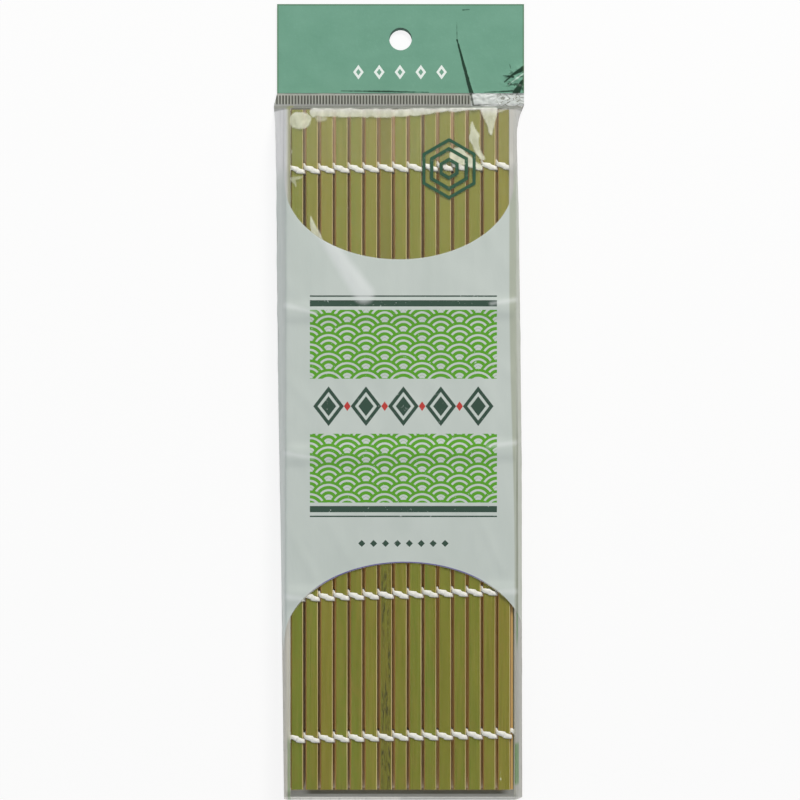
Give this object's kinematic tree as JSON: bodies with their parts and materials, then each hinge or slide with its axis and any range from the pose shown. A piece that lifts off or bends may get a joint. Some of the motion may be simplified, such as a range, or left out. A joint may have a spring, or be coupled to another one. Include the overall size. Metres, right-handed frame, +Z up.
{
  "type": "sushi rolling mat",
  "caption": "Rolling mat of flat green bamboo slats twined on cotton cords, folded in three inside a clear film hang bag that slides off its end.",
  "frame": {"origin": "on the table, under the middle of the folded and bagged mat's box", "axes": "+X across the slats, to the right with the header away; +Y along the slats, towards the header; +Z up, out of the green face that shows"},
  "size_m": [0.0878, 0.2822, 0.0141],
  "materials": {
    "bamboo": "green skin with a satin sheen, pale cut sides and back",
    "cotton_cord": "soft white twined cotton",
    "clear_film": "clear glossy film with soft wrinkles and a printed white band",
    "sealed_film": "crimped, milky",
    "header_film": "printed green film"
  },
  "bodies": {
    "back_layer": {"slat_01": "bamboo", "slat_02": "bamboo", "slat_03": "bamboo", "slat_04": "bamboo", "slat_05": "bamboo", "slat_06": "bamboo", "slat_07": "bamboo", "slat_08": "bamboo", "slat_09": "bamboo", "slat_10": "bamboo", "slat_11": "bamboo", "slat_12": "bamboo", "slat_13": "bamboo", "slat_14": "bamboo", "slat_15": "bamboo", "cord_row_1": "cotton_cord", "cord_row_2": "cotton_cord", "cord_row_3": "cotton_cord", "cord_row_4": "cotton_cord", "cord_row_5": "cotton_cord"},
    "left_edge": {"slat_16": "bamboo"},
    "middle_layer": {"slat_17": "bamboo", "slat_18": "bamboo", "slat_19": "bamboo", "slat_20": "bamboo", "slat_21": "bamboo", "slat_22": "bamboo", "slat_23": "bamboo", "slat_24": "bamboo", "slat_25": "bamboo", "slat_26": "bamboo", "slat_27": "bamboo", "slat_28": "bamboo", "slat_29": "bamboo", "slat_30": "bamboo", "slat_31": "bamboo"},
    "right_edge": {"slat_32": "bamboo"},
    "front_slat_01": {"slat_33": "bamboo"},
    "front_slat_02": {"slat_34": "bamboo"},
    "front_slat_03": {"slat_35": "bamboo"},
    "front_slat_04": {"slat_36": "bamboo"},
    "front_slat_05": {"slat_37": "bamboo"},
    "front_slat_06": {"slat_38": "bamboo"},
    "front_slat_07": {"slat_39": "bamboo"},
    "front_slat_08": {"slat_40": "bamboo"},
    "front_slat_09": {"slat_41": "bamboo"},
    "front_slat_10": {"slat_42": "bamboo"},
    "front_slat_11": {"slat_43": "bamboo"},
    "front_slat_12": {"slat_44": "bamboo"},
    "front_slat_13": {"slat_45": "bamboo"},
    "front_slat_14": {"slat_46": "bamboo"},
    "front_slat_15": {"slat_47": "bamboo"},
    "bag": {"back_film": "clear_film", "front_film": "clear_film", "crimp_seal": "sealed_film", "header": "header_film"}
  },
  "joints": [
    {"name": "unfold_left_lower", "type": "hinge", "parent": "back_layer", "child": "left_edge", "pos_m": [-0.03915, 0, 0.00166], "axis": [0, -1, 0], "range_deg": [0, 90], "deforming": ["cord_row_1", "cord_row_2", "cord_row_3", "cord_row_4", "cord_row_5"]},
    {"name": "unfold_left_upper", "type": "hinge", "parent": "left_edge", "child": "middle_layer", "pos_m": [-0.03915, 0, 0.00688], "axis": [0, -1, 0], "range_deg": [0, 90]},
    {"name": "unfold_right_lower", "type": "hinge", "parent": "middle_layer", "child": "right_edge", "pos_m": [0.03915, 0, 0.00718], "axis": [0, 1, 0], "range_deg": [0, 90]},
    {"name": "unfold_right_upper", "type": "hinge", "parent": "right_edge", "child": "front_slat_01", "pos_m": [0.03915, 0, 0.0124], "axis": [0, 1, 0], "range_deg": [0, 90]},
    {"name": "roll_01", "type": "hinge", "parent": "front_slat_01", "child": "front_slat_02", "pos_m": [0.03393, 0, 0.01255], "axis": [0, 1, 0], "range_deg": [0, 22], "deforming": ["cord_row_1", "cord_row_2", "cord_row_3", "cord_row_4", "cord_row_5"]},
    {"name": "roll_02", "type": "hinge", "parent": "front_slat_02", "child": "front_slat_03", "pos_m": [0.02871, 0, 0.01255], "axis": [0, 1, 0], "range_deg": [0, 22]},
    {"name": "roll_03", "type": "hinge", "parent": "front_slat_03", "child": "front_slat_04", "pos_m": [0.02349, 0, 0.01255], "axis": [0, 1, 0], "range_deg": [0, 22]},
    {"name": "roll_04", "type": "hinge", "parent": "front_slat_04", "child": "front_slat_05", "pos_m": [0.01827, 0, 0.01255], "axis": [0, 1, 0], "range_deg": [0, 22]},
    {"name": "roll_05", "type": "hinge", "parent": "front_slat_05", "child": "front_slat_06", "pos_m": [0.01305, 0, 0.01255], "axis": [0, 1, 0], "range_deg": [0, 22]},
    {"name": "roll_06", "type": "hinge", "parent": "front_slat_06", "child": "front_slat_07", "pos_m": [0.00783, 0, 0.01255], "axis": [0, 1, 0], "range_deg": [0, 22]},
    {"name": "roll_07", "type": "hinge", "parent": "front_slat_07", "child": "front_slat_08", "pos_m": [0.00261, 0, 0.01255], "axis": [0, 1, 0], "range_deg": [0, 22]},
    {"name": "roll_08", "type": "hinge", "parent": "front_slat_08", "child": "front_slat_09", "pos_m": [-0.00261, 0, 0.01255], "axis": [0, 1, 0], "range_deg": [0, 22]},
    {"name": "roll_09", "type": "hinge", "parent": "front_slat_09", "child": "front_slat_10", "pos_m": [-0.00783, 0, 0.01255], "axis": [0, 1, 0], "range_deg": [0, 22]},
    {"name": "roll_10", "type": "hinge", "parent": "front_slat_10", "child": "front_slat_11", "pos_m": [-0.01305, 0, 0.01255], "axis": [0, 1, 0], "range_deg": [0, 22]},
    {"name": "roll_11", "type": "hinge", "parent": "front_slat_11", "child": "front_slat_12", "pos_m": [-0.01827, 0, 0.01255], "axis": [0, 1, 0], "range_deg": [0, 22]},
    {"name": "roll_12", "type": "hinge", "parent": "front_slat_12", "child": "front_slat_13", "pos_m": [-0.02349, 0, 0.01255], "axis": [0, 1, 0], "range_deg": [0, 22]},
    {"name": "roll_13", "type": "hinge", "parent": "front_slat_13", "child": "front_slat_14", "pos_m": [-0.02871, 0, 0.01255], "axis": [0, 1, 0], "range_deg": [0, 22]},
    {"name": "roll_14", "type": "hinge", "parent": "front_slat_14", "child": "front_slat_15", "pos_m": [-0.03393, 0, 0.01255], "axis": [0, 1, 0], "range_deg": [0, 22]},
    {"name": "bag_slide", "type": "slide", "parent": "back_layer", "child": "bag", "axis": [0, 1, 0], "range_m": [0, 0.26], "deforming": ["front_film"]}
  ],
  "couplings": [
    {"joint": "unfold_left_lower", "follows": "bag_slide", "rad_per_m": 6.0415},
    {"joint": "unfold_left_upper", "follows": "bag_slide", "rad_per_m": 6.0415},
    {"joint": "unfold_right_lower", "follows": "bag_slide", "rad_per_m": 6.0415},
    {"joint": "unfold_right_upper", "follows": "bag_slide", "rad_per_m": 6.0415},
    {"joint": "roll_02", "follows": "roll_01", "ratio": 1},
    {"joint": "roll_03", "follows": "roll_01", "ratio": 1},
    {"joint": "roll_04", "follows": "roll_01", "ratio": 1},
    {"joint": "roll_05", "follows": "roll_01", "ratio": 1},
    {"joint": "roll_06", "follows": "roll_01", "ratio": 1},
    {"joint": "roll_07", "follows": "roll_01", "ratio": 1},
    {"joint": "roll_08", "follows": "roll_01", "ratio": 1},
    {"joint": "roll_09", "follows": "roll_01", "ratio": 1},
    {"joint": "roll_10", "follows": "roll_01", "ratio": 1},
    {"joint": "roll_11", "follows": "roll_01", "ratio": 1},
    {"joint": "roll_12", "follows": "roll_01", "ratio": 1},
    {"joint": "roll_13", "follows": "roll_01", "ratio": 1},
    {"joint": "roll_14", "follows": "roll_01", "ratio": 1}
  ]
}
